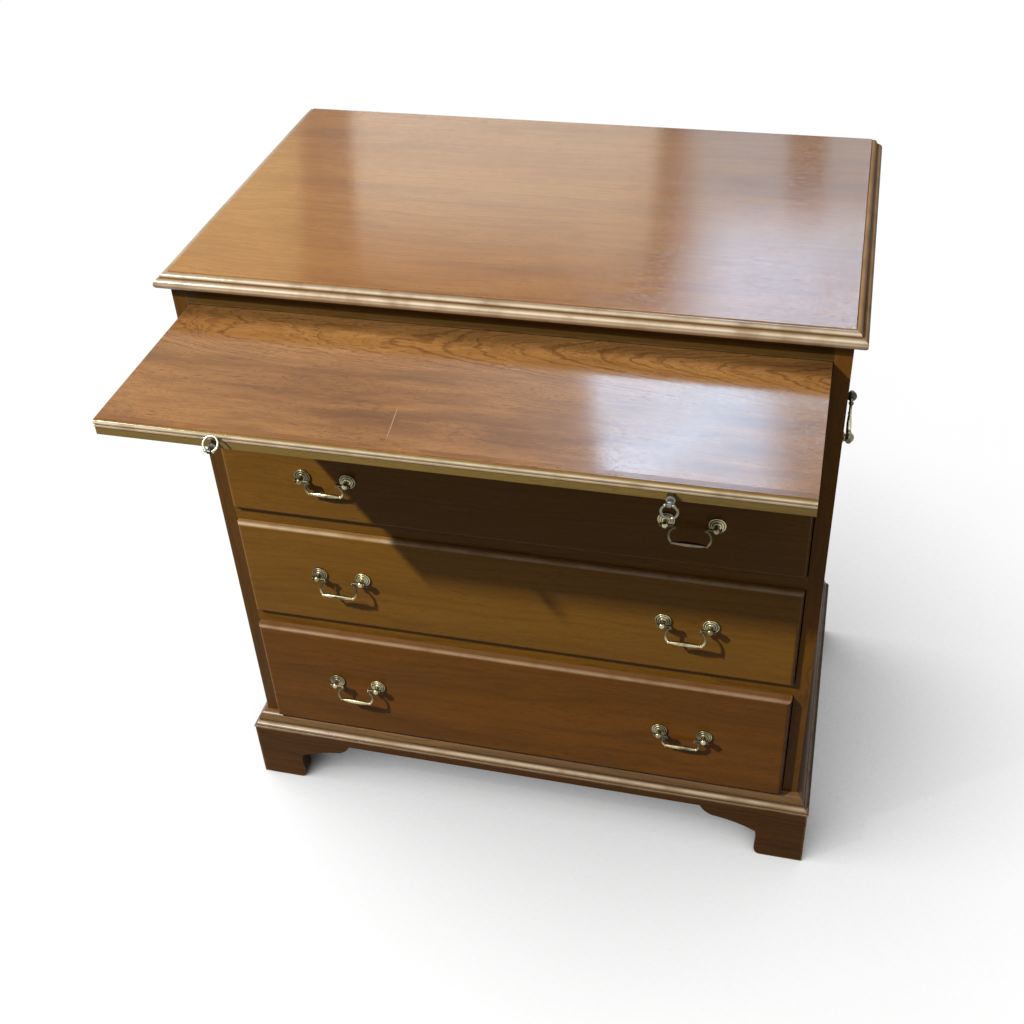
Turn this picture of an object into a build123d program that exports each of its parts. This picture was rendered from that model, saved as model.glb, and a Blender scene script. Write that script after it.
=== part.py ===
"""Bachelor's chest of four graduated drawers, with a brushing slide under its top.

Millimetres. +Z is up, the drawers open towards -Y, and X runs along the front.
The origin lies on the floor, under the middle of the chest with its slide drawn out.
"""

import os

from build123d import *

os.makedirs("parts", exist_ok=True)

# Overall sizes
top_width = 762.0
top_depth = 466.0
top_thick = 22.0
top_overhang = 13.0
back_overhang = 22.0
plinth_height = 94.0
plinth_out = 17.0

# Case boards
side_thick = 18.0
bottom_thick = 18.0
rail_thick = 20.0
slide_rail_thick = 18.0
top_rail_thick = 17.0
rail_depth = 60.0
runner_width = 24.0
dust_thick = 6.0
dust_groove = 6.0
back_thick = 6.0
housing = 6.0
housing_stop = 12.0

# Drawers, numbered from the top: heights of the fronts, and how far each stands open
drawer_heights = (100.0, 127.0, 152.0, 176.0)
drawer_open = (0.0, 0.0, 0.0, 4.0)
front_thick = 22.0
front_proud = 8.0
front_gap = 1.0
side_gap = 1.5
run_gap = 0.4
drawer_back_gap = 25.0
lining_thick = 10.0
lining_drop = 6.0
panel_thick = 5.0
panel_lift = 7.0
panel_groove = 4.0
thumb_depth = 4.6
thumb_quirk = 0.8
thumb_step = 0.1
tail_lap = 14.0
tail_pitch = 30.0
tail_neck_share = 0.30
tail_end_share = 0.39
stop_size = (30.0, 12.0, 5.0)
stop_apart = 500.0
stop_gap = 0.3

# Brushing slide, and how much of it stays in the case when it is drawn out
slide_thick = 17.6
slide_back_gap = 30.0
slide_kept = 178.0
slide_side_gap = 1.0
slide_lift_gap = 1.2
slide_edge_depth = 12.0
slide_bead_r = 3.1
slide_bead_back = 0.7
slide_bead_drop = 5.9
slide_quirk = 0.7
slide_fillet = 1.4
slide_fillet_back = 0.3
slide_face_back = 1.2
slide_stop_size = (120.0, 15.7, 6.0)
slide_stop_back = 62.0

# Ring pulls on the slide: barrel studs, and how far the raised ring leans back
ring_apart = 443.0
stud_height = 4.9
stud_r = 4.5
stud_edge = 6.2
stud_crown = 1.4
stud_shank_r = 1.5
stud_shank_long = 8.0
ear_half = 1.7
ear_r = 2.4
ring_pivot_out = 13.2
ring_r = 7.6
ring_wire_r = 1.25
ring_knob_at = 3.9
ring_knob_r = 1.9
ring_pin_r = 1.0
ring_lean = 44.0
pivot_gap = 0.06

# Turned posts and swan-neck bails: on the drawers, and larger on the sides
pull_apart = 435.0
pull_rises = (4.0, 2.5, 8.4, 5.7)
pull_leans = ((0.0, 0.0), (8.0, -20.0), (-24.0, -20.0), (-17.0, 8.0))
pull_post = {
    "plate_r": 10.0,
    "turns": (
        ((10.0, 1.3), (9.6, 2.3), (8.7, 2.5)),
        ((7.7, 1.5), (7.1, 2.9), (6.0, 3.2)),
        ((5.2, 2.6), (4.6, 3.9), (3.2, 4.6)),
    ),
    "ball_r": 4.2,
    "eye_out": 10.5,
    "pin_r": 1.6,
    "shank_r": 2.5,
}
pull_bail = {
    "post_at": 28.6,
    "knob_at": 17.8,
    "knob_r": 2.5,
    "knob_drop": 1.7,
    "bulge_at": 23.6,
    "bulge_drop": 10.5,
    "grip_half": 19.5,
    "drop": 20.0,
    "grip_r": 2.9,
    "grip_end_r": 1.6,
    "neck_r": 1.6,
    "heel_r": 2.1,
    "button_r": 2.6,
    "button_thick": 1.3,
    "button_gap": 0.4,
}
carry_height = 565.0
carry_post = {
    "plate_r": 14.0,
    "turns": (
        ((14.0, 1.4), (13.5, 2.5), (12.4, 2.8)),
        ((11.2, 1.8), (10.4, 3.2), (9.0, 3.5)),
        ((8.0, 2.9), (7.0, 4.4), (5.0, 5.2)),
    ),
    "ball_r": 6.4,
    "eye_out": 10.6,
    "pin_r": 2.2,
    "shank_r": 3.0,
}
carry_bail = {
    "post_at": 44.0,
    "knob_at": 31.5,
    "knob_r": 3.2,
    "knob_drop": 2.0,
    "bulge_at": 35.5,
    "bulge_drop": 9.2,
    "grip_half": 30.0,
    "drop": 16.0,
    "grip_r": 3.2,
    "grip_end_r": 2.0,
    "neck_r": 1.9,
    "heel_r": 2.6,
    "button_r": 3.2,
    "button_thick": 1.6,
    "button_gap": 0.4,
}

# Base moulding, in steps out from the case and up from the plinth
moulding_height = 24.0
bead_r = 1.8
bead_back = 0.6
ovolo_low = 4.6
ovolo_high = 10.8
ovolo_in = 11.4
cove_out = 10.8
cove_low = 11.8
cove_in = 2.2
cove_high = 22.4
moulding_top_out = 1.6

# Moulding on the edge of the top, in steps in from the nosing and down from the top
edge_width = 13.6
field_step = 1.0
edge_fillet_in = 11.0
edge_cove_in = 7.0
edge_cove_drop = 5.0
nosing_back = 6.2
nosing_start = 5.8
nosing_middle = 11.6
nosing_end = 17.4
under_fillet_in = 7.4
under_fillet_drop = 18.6

# Plinth boards and bracket feet
plinth_thick = 22.0
foot_reach = 139.0
apron_height = 81.0
block_size = 32.0
block_lift = 2.0
bracket_reach = 100.0
bracket_foot = 45.0
bracket_thick = 18.0

# Outline of a foot's inner edge, from the sole up to the apron: shares of foot_reach and apron_height
leg_shares = ((0.412, 0.0), (0.452, 0.07), (0.462, 0.17), (0.455, 0.33), (0.450, 0.47))
cusp_share = (0.464, 0.573)
slope_share = (0.655, 0.716)
step_share = (0.878, 0.800)
rise_share = (0.952, 0.880)

# Overrun of every cut past the face that it leaves
overrun = 5.0

# Share of a circle's radius at 45 degrees
half_root = 0.5**0.5

# Places worked out from the sizes above
case_half = top_width / 2 - top_overhang
inner_half = case_half - side_thick
case_depth = top_depth - top_overhang - back_overhang
drawer_reach = case_depth - back_thick - drawer_back_gap
slide_depth = front_proud + case_depth - back_thick - slide_back_gap
slide_out = slide_depth - slide_kept
pull_reach = ring_pivot_out + ear_r - slide_face_back
front = (slide_out + pull_reach - (top_depth - top_overhang)) / 2
back = front + case_depth
case_middle = (front + back) / 2
panel_face = back - back_thick
rail_back = front + rail_depth
run_inner = inner_half - runner_width

board_top = plinth_height + moulding_height
run_level = {}
rail_low = {}
level = board_top
for number in (4, 3, 2, 1):
    run_level[number] = level
    rail_low[number] = level + drawer_heights[number - 1] + 2 * front_gap
    level = rail_low[number] + rail_thick
slide_rail_low = rail_low.pop(1)
slide_low = slide_rail_low + slide_rail_thick + run_gap
slide_top = slide_low + slide_thick
top_rail_low = slide_top + slide_lift_gap
case_top = top_rail_low + top_rail_thick
total_height = case_top + top_thick
housings = [(board_top - bottom_thick, bottom_thick), (slide_rail_low, slide_rail_thick)]
housings += [(low, rail_thick) for low in rail_low.values()]
housings.append((top_rail_low, top_rail_thick))


def slab(x_span, y_span, z_span):
    """A board between two values of x, y and z."""
    with BuildPart() as board:
        with BuildSketch(Plane.XY.offset(z_span[0])):
            with Locations((sum(x_span) / 2, sum(y_span) / 2)):
                Rectangle(x_span[1] - x_span[0], y_span[1] - y_span[0])
        extrude(amount=z_span[1] - z_span[0])
    return board.part


def hand_span(sign, low, high):
    """A span of x between two distances from the middle, on the left or the right."""
    return tuple(sorted((sign * low, sign * high)))


def outward_plane(origin, outward):
    """A plane whose local x points out of the case and whose local y points up."""
    direction = Vector(*outward)
    return Plane(origin=origin, x_dir=direction, z_dir=direction.cross(Vector(0, 0, 1)))


def mitre_plane(half, sign):
    """The upright plane at 45 degrees through a front corner of the case."""
    return Plane(origin=(sign * half, front, 0), z_dir=(sign, 1, 0))


def front_run(section, half, height, reach):
    """A length of one section across the front, mitred at both ends."""
    with BuildPart() as run:
        with BuildSketch(outward_plane((0, front, height), (0, -1, 0))):
            add(section)
        extrude(amount=half + reach, both=True)
        for sign in (-1, 1):
            split(bisect_by=mitre_plane(half, sign), keep=Keep.BOTTOM)
    return run.part


def side_run(section, half, height, reach, sign, rear):
    """A length of one section along a side, mitred at the front and square at the rear."""
    with BuildPart() as run:
        with BuildSketch(outward_plane((sign * half, rear, height), (sign, 0, 0))):
            add(section)
        extrude(amount=sign * (rear - front + reach))
        split(bisect_by=mitre_plane(half, sign), keep=Keep.TOP)
    return run.part


# Profile of the moulding round the top
with BuildSketch() as top_section:
    with BuildLine():
        inner = top_overhang - edge_width
        Polyline(
            (inner, top_thick - field_step),
            (top_overhang - edge_fillet_in, top_thick - field_step),
        )
        RadiusArc(
            (top_overhang - edge_fillet_in, top_thick - field_step),
            (top_overhang - edge_cove_in, top_thick - edge_cove_drop),
            edge_fillet_in - edge_cove_in,
        )
        Polyline(
            (top_overhang - edge_cove_in, top_thick - edge_cove_drop),
            (top_overhang - nosing_back, top_thick - edge_cove_drop),
            (top_overhang - nosing_back, top_thick - nosing_start),
        )
        ThreePointArc(
            (top_overhang - nosing_back, top_thick - nosing_start),
            (top_overhang, top_thick - nosing_middle),
            (top_overhang - nosing_back, top_thick - nosing_end),
        )
        Polyline(
            (top_overhang - nosing_back, top_thick - nosing_end),
            (top_overhang - under_fillet_in, top_thick - nosing_end),
            (top_overhang - under_fillet_in, top_thick - under_fillet_drop),
            (0, 0),
            (inner, 0),
            (inner, top_thick - field_step),
        )
    make_face()

# Profile of the moulding between the case and the plinth
with BuildSketch() as base_section:
    with BuildLine():
        bead_in = plinth_out - bead_back
        Polyline((0, moulding_height), (0, 0), (bead_in, 0))
        ThreePointArc((bead_in, 0), (bead_in + bead_r, bead_r), (bead_in, 2 * bead_r))
        Polyline(
            (bead_in, 2 * bead_r),
            (bead_in - bead_back, 2 * bead_r),
            (bead_in - bead_back, ovolo_low),
            (plinth_out, ovolo_low),
        )
        RadiusArc((plinth_out, ovolo_low), (ovolo_in, ovolo_high), ovolo_high - ovolo_low)
        Polyline((ovolo_in, ovolo_high), (cove_out, ovolo_high), (cove_out, cove_low))
        RadiusArc((cove_out, cove_low), (cove_in, cove_high), -(cove_high - cove_low))
        Polyline((cove_in, cove_high), (moulding_top_out, moulding_height), (0, moulding_height))
    make_face()

# Top board
field_half = top_width / 2 - edge_width
top_front = front - top_overhang + edge_width
top_rear = front - top_overhang + top_depth
with BuildPart() as top_panel:
    add(slab((-field_half, field_half), (top_front, top_rear), (case_top, total_height)))
top_panel.part.label = "top_panel"
export_step(top_panel.part, "parts/top_panel.step")

# Moulding round the top, in three mitred lengths
with BuildPart() as top_moulding_front:
    add(front_run(top_section.sketch, case_half, case_top, top_overhang))
top_moulding_front.part.label = "top_moulding_front"
export_step(top_moulding_front.part, "parts/top_moulding_front.step")

for hand, sign in (("left", -1), ("right", 1)):
    with BuildPart() as top_moulding_side:
        add(side_run(top_section.sketch, case_half, case_top, top_overhang, sign, top_rear))
    top_moulding_side.part.label = f"top_moulding_{hand}"
    export_step(top_moulding_side.part, f"parts/top_moulding_{hand}.step")

# Side boards, with stopped housings for every rail, a rebate for the back, and holes for the handles
carry_shank = side_thick - housing
for hand, sign in (("left", -1), ("right", 1)):
    with BuildPart() as side:
        add(slab(hand_span(sign, inner_half, case_half), (front, back), (plinth_height, case_top)))
        housed = hand_span(sign, inner_half, inner_half + housing)
        for low, thick in housings:
            add(slab(housed, (front + housing_stop, back), (low, low + thick)), mode=Mode.SUBTRACT)
        add(slab(housed, (panel_face, back), (plinth_height, case_top)), mode=Mode.SUBTRACT)
        with BuildSketch(Plane.YZ.offset(sign * case_half)):
            with Locations((case_middle, carry_height)):
                with GridLocations(2 * carry_bail["post_at"], 0, 2, 1):
                    Circle(carry_post["shank_r"] + pivot_gap)
        extrude(amount=-sign * carry_shank, mode=Mode.SUBTRACT)
    side.part.label = f"side_{hand}"
    export_step(side.part, f"parts/side_{hand}.step")

# Back panel, in the rebates of the sides
with BuildPart() as back_panel:
    rebate_half = inner_half + housing
    add(slab((-rebate_half, rebate_half), (panel_face, back), (plinth_height, case_top)))
back_panel.part.label = "back_panel"
export_step(back_panel.part, "parts/back_panel.step")


def rail(low, thick, grooved):
    """A front rail with a tongue at each end, and a groove behind for its dust board."""
    tongue_half = inner_half + housing
    with BuildPart() as board:
        add(slab((-inner_half, inner_half), (front, rail_back), (low, low + thick)))
        tongue = slab(
            (-tongue_half, tongue_half), (front + housing_stop, rail_back), (low, low + thick)
        )
        add(tongue)
        if grooved:
            middle = low + thick / 2
            groove = slab(
                (-run_inner - dust_groove, run_inner + dust_groove),
                (rail_back - dust_groove, rail_back),
                (middle - dust_thick / 2, middle + dust_thick / 2),
            )
            add(groove, mode=Mode.SUBTRACT)
    return board.part


with BuildPart() as top_rail:
    add(rail(top_rail_low, top_rail_thick, False))
top_rail.part.label = "top_rail"
export_step(top_rail.part, "parts/top_rail.step")

with BuildPart() as slide_rail:
    add(rail(slide_rail_low, slide_rail_thick, True))
slide_rail.part.label = "slide_rail"
export_step(slide_rail.part, "parts/slide_rail.step")

with BuildPart() as drawer_rails:
    for low in rail_low.values():
        add(rail(low, rail_thick, True))
drawer_rails.part.label = "drawer_rails"
export_step(drawer_rails.part, "parts/drawer_rails.step")

# Bottom board, housed in the sides
with BuildPart() as bottom_board:
    board_span = (board_top - bottom_thick, board_top)
    add(slab((-inner_half, inner_half), (front, panel_face), board_span))
    tongue_half = inner_half + housing
    add(slab((-tongue_half, tongue_half), (front + housing_stop, panel_face), board_span))
bottom_board.part.label = "bottom_board"
export_step(bottom_board.part, "parts/bottom_board.step")

# Runners behind each rail, grooved for the dust boards, and plain kickers over the slide
grooved_levels = [(slide_rail_low, slide_rail_thick)]
grooved_levels += [(low, rail_thick) for low in rail_low.values()]
with BuildPart() as runners:
    for sign in (-1, 1):
        strip = hand_span(sign, run_inner, inner_half + housing)
        groove = hand_span(sign, run_inner, run_inner + dust_groove)
        add(slab(strip, (rail_back, panel_face), (top_rail_low, case_top)))
        for low, thick in grooved_levels:
            middle = low + thick / 2
            dust_span = (middle - dust_thick / 2, middle + dust_thick / 2)
            add(slab(strip, (rail_back, panel_face), (low, low + thick)))
            add(slab(groove, (rail_back, panel_face), dust_span), mode=Mode.SUBTRACT)
runners.part.label = "runners"
export_step(runners.part, "parts/runners.step")

with BuildPart() as dust_boards:
    dust_half = run_inner + dust_groove
    for low, thick in grooved_levels:
        middle = low + thick / 2
        dust_span = (middle - dust_thick / 2, middle + dust_thick / 2)
        add(slab((-dust_half, dust_half), (rail_back - dust_groove, panel_face), dust_span))
dust_boards.part.label = "dust_boards"
export_step(dust_boards.part, "parts/dust_boards.step")

# Drawer stops, glued to the rails and the bottom board behind the drawer fronts
with BuildPart() as drawer_stops:
    stop_front = front - front_proud + front_thick + stop_gap
    for level in run_level.values():
        for sign in (-1, 1):
            middle = sign * stop_apart / 2
            stop_span = (middle - stop_size[0] / 2, middle + stop_size[0] / 2)
            stop_height = (level, level + stop_size[2])
            add(slab(stop_span, (stop_front, stop_front + stop_size[1]), stop_height))
drawer_stops.part.label = "drawer_stops"
export_step(drawer_stops.part, "parts/drawer_stops.step")

# Base moulding, in three mitred lengths
with BuildPart() as base_moulding_front:
    add(front_run(base_section.sketch, case_half, plinth_height, plinth_out + bead_r))
base_moulding_front.part.label = "base_moulding_front"
export_step(base_moulding_front.part, "parts/base_moulding_front.step")

for hand, sign in (("left", -1), ("right", 1)):
    with BuildPart() as base_moulding_side:
        reach = plinth_out + bead_r
        add(side_run(base_section.sketch, case_half, plinth_height, reach, sign, back))
    base_moulding_side.part.label = f"base_moulding_{hand}"
    export_step(base_moulding_side.part, f"parts/base_moulding_{hand}.step")


def foot_point(share, corner, sign):
    """A point of a foot's outline, inwards from the outer corner of the plinth."""
    return (corner + sign * share[0] * foot_reach, share[1] * apron_height)


def foot_edge(corner, sign):
    """The inner edge of a bracket foot: leg, cusp, sloping bracket and step up to the apron."""
    leg = [foot_point(share, corner, sign) for share in leg_shares]
    cusp = foot_point(cusp_share, corner, sign)
    step = foot_point(step_share, corner, sign)
    apron = (corner + sign * foot_reach, apron_height)
    Polyline((leg[0][0], -overrun), leg[0])
    Spline(*leg)
    Polyline(leg[-1], cusp)
    ThreePointArc(cusp, foot_point(slope_share, corner, sign), step)
    ThreePointArc(step, foot_point(rise_share, corner, sign), apron)
    return leg[0][0], apron


def arch(plane, low_corner, high_corner):
    """The open space between two bracket feet, through a plinth board."""
    with BuildPart() as space:
        with BuildSketch(plane):
            with BuildLine():
                low_sole, low_apron = foot_edge(low_corner, 1)
                high_sole, high_apron = foot_edge(high_corner, -1)
                Polyline(low_apron, high_apron)
                Polyline((low_sole, -overrun), (high_sole, -overrun))
            make_face()
        extrude(amount=plinth_thick + overrun, both=True)
    return space.part


# Plinth boards with bracket feet, mitred at the front corners
plinth_outer = case_half + plinth_out
with BuildSketch() as plinth_section:
    with Locations((plinth_out - plinth_thick / 2, plinth_height / 2)):
        Rectangle(plinth_thick, plinth_height)

with BuildPart() as plinth_front:
    add(front_run(plinth_section.sketch, case_half, 0, plinth_out))
    add(arch(Plane.XZ.offset(-front), -plinth_outer, plinth_outer), mode=Mode.SUBTRACT)
plinth_front.part.label = "plinth_front"
export_step(plinth_front.part, "parts/plinth_front.step")

for hand, sign in (("left", -1), ("right", 1)):
    with BuildPart() as plinth_side:
        add(side_run(plinth_section.sketch, case_half, 0, plinth_out, sign, back))
        side_plane = Plane.YZ.offset(sign * case_half)
        add(arch(side_plane, front - plinth_out, back), mode=Mode.SUBTRACT)
    plinth_side.part.label = f"plinth_{hand}"
    export_step(plinth_side.part, f"parts/plinth_{hand}.step")

# Plain brackets behind the rear feet
plinth_inner = plinth_outer - plinth_thick
with BuildPart() as rear_brackets:
    for sign in (-1, 1):
        with BuildSketch(Plane.XZ.offset(-back)):
            with BuildLine():
                Polyline(
                    (sign * plinth_inner, 0),
                    (sign * (plinth_inner - bracket_foot), 0),
                    (sign * (plinth_inner - bracket_reach), apron_height),
                    (sign * (plinth_inner - bracket_reach), plinth_height),
                    (sign * plinth_inner, plinth_height),
                    close=True,
                )
            make_face()
        extrude(amount=bracket_thick)
rear_brackets.part.label = "rear_brackets"
export_step(rear_brackets.part, "parts/rear_brackets.step")

# Corner blocks glued behind the feet, clear of the floor
with BuildPart() as foot_blocks:
    plinth_back = front - plinth_out + plinth_thick
    block_span = (block_lift, plinth_height)
    for sign in (-1, 1):
        across = hand_span(sign, plinth_inner - block_size, plinth_inner)
        add(slab(across, (plinth_back, plinth_back + block_size), block_span))
        rear_face = back - bracket_thick
        add(slab(across, (rear_face - block_size, rear_face), block_span))
foot_blocks.part.label = "foot_blocks"
export_step(foot_blocks.part, "parts/foot_blocks.step")


def turned_post(face, sizes, shank_long):
    """A post turned in one with its ringed plate, drilled across its ball for the bail's pin."""
    profile = Plane(origin=face.origin, x_dir=face.x_dir, z_dir=face.x_dir.cross(face.z_dir))
    waist_r = sizes["turns"][-1][-1][0]
    ball_low = sizes["eye_out"] - (sizes["ball_r"] ** 2 - waist_r**2) ** 0.5
    with BuildPart() as post:
        with BuildSketch(profile):
            with BuildLine():
                reached = (sizes["plate_r"], 0)
                Polyline(
                    (0, sizes["eye_out"] + sizes["ball_r"]),
                    (0, -shank_long),
                    (sizes["shank_r"], -shank_long),
                    (sizes["shank_r"], 0),
                    reached,
                )
                for start, middle, end in sizes["turns"]:
                    Line(reached, start)
                    ThreePointArc(start, middle, end)
                    reached = end
                Line(reached, (waist_r, ball_low))
                ThreePointArc(
                    (waist_r, ball_low),
                    (sizes["ball_r"], sizes["eye_out"]),
                    (0, sizes["eye_out"] + sizes["ball_r"]),
                )
            make_face()
        revolve(axis=Axis(face.origin, face.z_dir))
        eye = Plane(
            origin=face.from_local_coords((0, 0, sizes["eye_out"])), z_dir=face.x_dir
        )
        with BuildSketch(eye):
            Circle(sizes["pin_r"] + pivot_gap)
        extrude(amount=sizes["ball_r"] + overrun, both=True, mode=Mode.SUBTRACT)
    return post.part


def swan_neck_bail(pivot, post, sizes):
    """A bail hinged on the local x axis of its pivot plane, hanging down its local -y."""
    grip_half = sizes["grip_half"]
    grip_axis = pivot.from_local_coords((0, -sizes["drop"], 0))
    knob_axis = pivot.from_local_coords((0, -sizes["knob_drop"], 0))
    heel_in = grip_half - (sizes["heel_r"] ** 2 - sizes["grip_end_r"] ** 2) ** 0.5
    button_low = sizes["post_at"] + post["ball_r"] + sizes["button_gap"]
    button_high = button_low + sizes["button_thick"]
    with BuildPart() as bail:
        with BuildSketch(Plane(origin=grip_axis, x_dir=pivot.x_dir, z_dir=pivot.z_dir)):
            with BuildLine():
                ThreePointArc(
                    (-grip_half - sizes["heel_r"], 0),
                    (-grip_half, sizes["heel_r"]),
                    (-heel_in, sizes["grip_end_r"]),
                )
                ThreePointArc(
                    (-heel_in, sizes["grip_end_r"]),
                    (0, sizes["grip_r"]),
                    (heel_in, sizes["grip_end_r"]),
                )
                ThreePointArc(
                    (heel_in, sizes["grip_end_r"]),
                    (grip_half, sizes["heel_r"]),
                    (grip_half + sizes["heel_r"], 0),
                )
                Line((grip_half + sizes["heel_r"], 0), (-grip_half - sizes["heel_r"], 0))
            make_face()
        revolve(axis=Axis(grip_axis, pivot.x_dir))
        for sign in (-1, 1):
            with BuildSketch(pivot):
                with BuildLine():
                    ThreePointArc(
                        (sign * (sizes["knob_at"] - post["pin_r"]), 0),
                        (sign * (sizes["knob_at"] - post["pin_r"] * half_root), post["pin_r"] * half_root),
                        (sign * sizes["knob_at"], post["pin_r"]),
                    )
                    Polyline(
                        (sign * sizes["knob_at"], post["pin_r"]),
                        (sign * button_low, post["pin_r"]),
                        (sign * button_low, sizes["button_r"]),
                        (sign * button_high, sizes["button_r"]),
                        (sign * button_high, 0),
                        (sign * (sizes["knob_at"] - post["pin_r"]), 0),
                    )
                make_face()
            revolve(axis=Axis(pivot.origin, pivot.x_dir))
            with BuildSketch(Plane(origin=knob_axis, x_dir=pivot.x_dir, z_dir=pivot.z_dir)):
                with BuildLine():
                    knob_ends = [(sign * sizes["knob_at"] + end * sizes["knob_r"], 0) for end in (-1, 1)]
                    ThreePointArc(knob_ends[0], (sign * sizes["knob_at"], sizes["knob_r"]), knob_ends[1])
                    Line(*knob_ends)
                make_face()
            revolve(axis=Axis(knob_axis, pivot.x_dir))
            with BuildLine(pivot) as neck:
                ThreePointArc(
                    (sign * sizes["knob_at"], -sizes["knob_drop"]),
                    (sign * sizes["bulge_at"], -sizes["bulge_drop"]),
                    (sign * grip_half, -sizes["drop"]),
                )
            with BuildSketch(Plane(origin=neck.line @ 0, z_dir=neck.line % 0)):
                Circle(sizes["neck_r"])
            sweep()
    return bail.part


# Carrying handles on the sides
with BuildPart() as carry_posts:
    for sign in (-1, 1):
        for end in (-1, 1):
            place = (sign * case_half, case_middle + end * carry_bail["post_at"], carry_height)
            face = Plane(origin=place, x_dir=(0, sign, 0), z_dir=(sign, 0, 0))
            add(turned_post(face, carry_post, carry_shank))
carry_posts.part.label = "carry_posts"
export_step(carry_posts.part, "parts/carry_posts.step")

for hand, sign in (("left", -1), ("right", 1)):
    with BuildPart() as carry_handle:
        place = (sign * (case_half + carry_post["eye_out"]), case_middle, carry_height)
        pivot = Plane(origin=place, x_dir=(0, sign, 0), z_dir=(sign, 0, 0))
        add(swan_neck_bail(pivot, carry_post, carry_bail))
    carry_handle.part.label = f"carry_bail_{hand}"
    export_step(carry_handle.part, f"parts/carry_bail_{hand}.step")

# Brushing slide: board, moulded front edge, and the stop block under it
slide_half = inner_half - slide_side_gap
slide_front = front - slide_out
slide_board_front = slide_front + slide_edge_depth
slide_rear = slide_front + slide_depth
edge_face = slide_front + slide_face_back
ring_pivot = edge_face - ring_pivot_out
stud_level = slide_low + stud_height
with BuildPart() as slide_board:
    board_ends = (-slide_half, slide_half)
    add(slab(board_ends, (slide_board_front, slide_rear), (slide_low, slide_top)))
slide_board.part.label = "slide_board"
export_step(slide_board.part, "parts/slide_board.step")

with BuildPart() as slide_edge:
    with BuildSketch(outward_plane((0, slide_board_front, slide_low), (0, -1, 0))):
        with BuildLine():
            bead_middle = (slide_edge_depth - slide_bead_r, slide_thick - slide_bead_r)
            bead_foot = slide_thick - slide_bead_drop
            bead_foot_out = bead_middle[0] + (
                slide_bead_r**2 - (bead_middle[1] - bead_foot) ** 2
            ) ** 0.5
            fillet_top = bead_foot - slide_quirk
            fillet_out = slide_edge_depth - slide_fillet_back
            face_out = slide_edge_depth - slide_face_back
            quirk_back = bead_middle[0] - slide_bead_back
            Polyline(
                (quirk_back, slide_thick),
                (0, slide_thick),
                (0, 0),
                (face_out, 0),
                (face_out, fillet_top - slide_fillet),
                (fillet_out, fillet_top - slide_fillet),
                (fillet_out, fillet_top),
                (bead_foot_out, fillet_top),
                (bead_foot_out, bead_foot),
            )
            ThreePointArc(
                (bead_foot_out, bead_foot),
                (slide_edge_depth, bead_middle[1]),
                (bead_middle[0], slide_thick),
            )
            Polyline(
                (bead_middle[0], slide_thick),
                (bead_middle[0], slide_thick - slide_bead_back),
                (quirk_back, slide_thick - slide_bead_back),
                (quirk_back, slide_thick),
            )
        make_face()
    extrude(amount=slide_half, both=True)
    for sign in (-1, 1):
        with BuildSketch(Plane.XZ.offset(-slide_board_front)):
            with Locations((sign * ring_apart / 2, stud_level)):
                Circle(stud_shank_r + pivot_gap)
        extrude(amount=slide_edge_depth, mode=Mode.SUBTRACT)
slide_edge.part.label = "slide_edge"
export_step(slide_edge.part, "parts/slide_edge.step")

with BuildPart() as slide_stop:
    stop_rear = slide_rear - slide_stop_back
    stop_span = (-slide_stop_size[0] / 2, slide_stop_size[0] / 2)
    stop_height = (slide_low - slide_stop_size[2], slide_low)
    add(slab(stop_span, (stop_rear - slide_stop_size[1], stop_rear), stop_height))
slide_stop.part.label = "slide_stop"
export_step(slide_stop.part, "parts/slide_stop.step")

# Turned studs of the ring pulls, each with a flat ear
with BuildPart() as ring_studs:
    for sign in (-1, 1):
        stud_x = sign * ring_apart / 2
        profile = Plane(origin=(stud_x, edge_face, stud_level), x_dir=(1, 0, 0), z_dir=(0, 0, -1))
        with BuildSketch(profile):
            with BuildLine():
                Polyline(
                    (0, stud_edge + stud_crown),
                    (0, -stud_shank_long),
                    (stud_shank_r, -stud_shank_long),
                    (stud_shank_r, 0),
                    (stud_r, 0),
                    (stud_r, stud_edge),
                )
                ThreePointArc(
                    (stud_r, stud_edge),
                    (stud_r * half_root, stud_edge + stud_crown * half_root),
                    (0, stud_edge + stud_crown),
                )
            make_face()
        revolve(axis=Axis(profile.origin, profile.y_dir))
        with BuildSketch(Plane.YZ.offset(stud_x)):
            with Locations((ring_pivot, stud_level)):
                Circle(ear_r)
            with Locations(((edge_face + ring_pivot) / 2, stud_level)):
                Rectangle(ring_pivot_out, 2 * ear_r)
        extrude(amount=ear_half, both=True)
        with BuildSketch(Plane.YZ.offset(stud_x)):
            with Locations((ring_pivot, stud_level)):
                Circle(ring_pin_r + pivot_gap)
        extrude(amount=stud_r, both=True, mode=Mode.SUBTRACT)
ring_studs.part.label = "ring_studs"
export_step(ring_studs.part, "parts/ring_studs.step")


def pull_ring():
    """A ring with two knobs and a pin between them, hanging from a pivot at the origin."""
    shoulder = (ring_r**2 - ring_knob_at**2) ** 0.5 - ring_r
    with BuildPart() as ring:
        with BuildLine(Plane.XZ) as hoop:
            ThreePointArc((-ring_knob_at, shoulder), (0, -2 * ring_r), (ring_knob_at, shoulder))
        with BuildSketch(Plane(origin=hoop.line @ 0, z_dir=hoop.line % 0)):
            Circle(ring_wire_r)
        sweep()
        for sign in (-1, 1):
            with Locations((sign * ring_knob_at, 0, shoulder / 2)):
                Sphere(ring_knob_r)
        with BuildSketch(Plane.YZ):
            Circle(ring_pin_r)
        extrude(amount=ring_knob_at, both=True)
    return ring.part


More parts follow.
